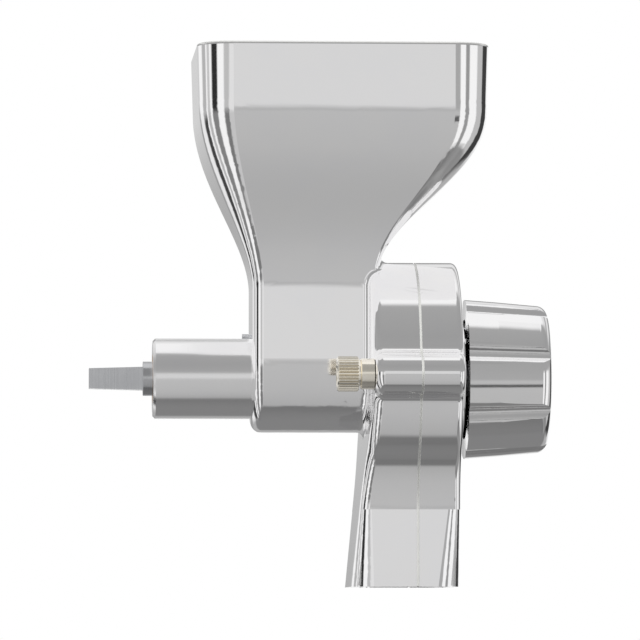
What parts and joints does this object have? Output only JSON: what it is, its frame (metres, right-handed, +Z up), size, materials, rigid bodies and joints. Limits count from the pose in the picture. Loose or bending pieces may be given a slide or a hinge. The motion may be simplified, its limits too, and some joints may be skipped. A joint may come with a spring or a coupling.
{
  "type": "grain mill",
  "caption": "Cast hopper grain mill that plugs into a drive hub: a worm feeds grain between burrs set by a fluted knob, and flour falls from a chute.",
  "frame": {"origin": "on the shaft axis at the shoulder where the shank leaves the body and meets the drive hub", "axes": "+X along the shaft from the hub to the knob, +Z up to the hopper rim, +Y to the far side"},
  "size_m": [0.1893, 0.1154, 0.2192],
  "materials": {
    "polished_aluminium": "polished casting",
    "nickel_plate": "bright nickel plate",
    "ground_steel": "ground",
    "bearing_bronze": "turned",
    "burr_iron": "hardened casting",
    "spring_steel": "drawn wire"
  },
  "bodies": {
    "housing": {"mill_body": "polished_aluminium", "locating_pin": "ground_steel", "rear_bush": "bearing_bronze", "fixed_burr": "burr_iron", "fixed_burr_screws": "ground_steel", "return_spring": "spring_steel"},
    "cover": {"front_cover": "polished_aluminium", "front_bush": "bearing_bronze"},
    "adjuster": {"thrust_pad": "ground_steel"},
    "knob": {"adjusting_knob": "polished_aluminium", "adjusting_screw": "ground_steel", "knob_pin": "ground_steel", "detent_spring": "spring_steel"},
    "detent": {"detent_ball": "ground_steel"},
    "thrust": {"thrust_ball": "ground_steel"},
    "rotor": {"drive_shaft": "ground_steel", "feed_worm": "burr_iron", "worm_pin": "ground_steel", "spring_washer": "ground_steel", "moving_burr": "burr_iron", "burr_drive_pin": "ground_steel"},
    "collar_near": {"screw_collar_near": "nickel_plate"},
    "screw_near": {"thumb_screw_near": "nickel_plate"},
    "collar_far": {"screw_collar_far": "nickel_plate"},
    "screw_far": {"thumb_screw_far": "nickel_plate"}
  },
  "joints": [
    {"name": "cover_pull", "type": "slide", "parent": "housing", "child": "cover", "axis": [1, 0, 0], "range_m": [0, 0.06]},
    {"name": "adjuster_travel", "type": "slide", "parent": "cover", "child": "adjuster", "axis": [1, 0, 0], "range_m": [-0.0005, 0.00088]},
    {"name": "knob_turn", "type": "hinge", "parent": "adjuster", "child": "knob", "pos_m": [0.1, 0, 0], "axis": [1, 0, 0], "range_deg": [-120, 210]},
    {"name": "detent_travel", "type": "slide", "parent": "knob", "child": "detent", "axis": [1, 0, 0], "range_m": [-0.0009, 0.00055], "deforming": ["detent_spring"]},
    {"name": "shaft_travel", "type": "slide", "parent": "housing", "child": "thrust", "axis": [1, 0, 0], "range_m": [-0.00055, 0.0009], "deforming": ["return_spring"]},
    {"name": "shaft_spin", "type": "hinge", "parent": "thrust", "child": "rotor", "pos_m": [0, 0, 0], "axis": [1, 0, 0], "continuous": true},
    {"name": "near_screw_travel", "type": "slide", "parent": "housing", "child": "collar_near", "axis": [-1, 0, 0], "range_m": [0, 0.012]},
    {"name": "near_screw_turn", "type": "hinge", "parent": "collar_near", "child": "screw_near", "pos_m": [0.04, -0.049, 0], "axis": [-1, 0, 0], "range_deg": [0, 4320]},
    {"name": "far_screw_travel", "type": "slide", "parent": "housing", "child": "collar_far", "axis": [-1, 0, 0], "range_m": [0, 0.012]},
    {"name": "far_screw_turn", "type": "hinge", "parent": "collar_far", "child": "screw_far", "pos_m": [0.04, 0.049, 0], "axis": [-1, 0, 0], "range_deg": [0, 4320]}
  ],
  "couplings": [
    {"joint": "knob_turn", "follows": "adjuster_travel", "rad_per_m": 4188.8},
    {"joint": "shaft_travel", "follows": "adjuster_travel", "ratio": 1},
    {"joint": "detent_travel", "follows": "adjuster_travel", "ratio": -1},
    {"joint": "near_screw_turn", "follows": "near_screw_travel", "rad_per_m": 6283.2},
    {"joint": "far_screw_turn", "follows": "far_screw_travel", "rad_per_m": 6283.2}
  ]
}
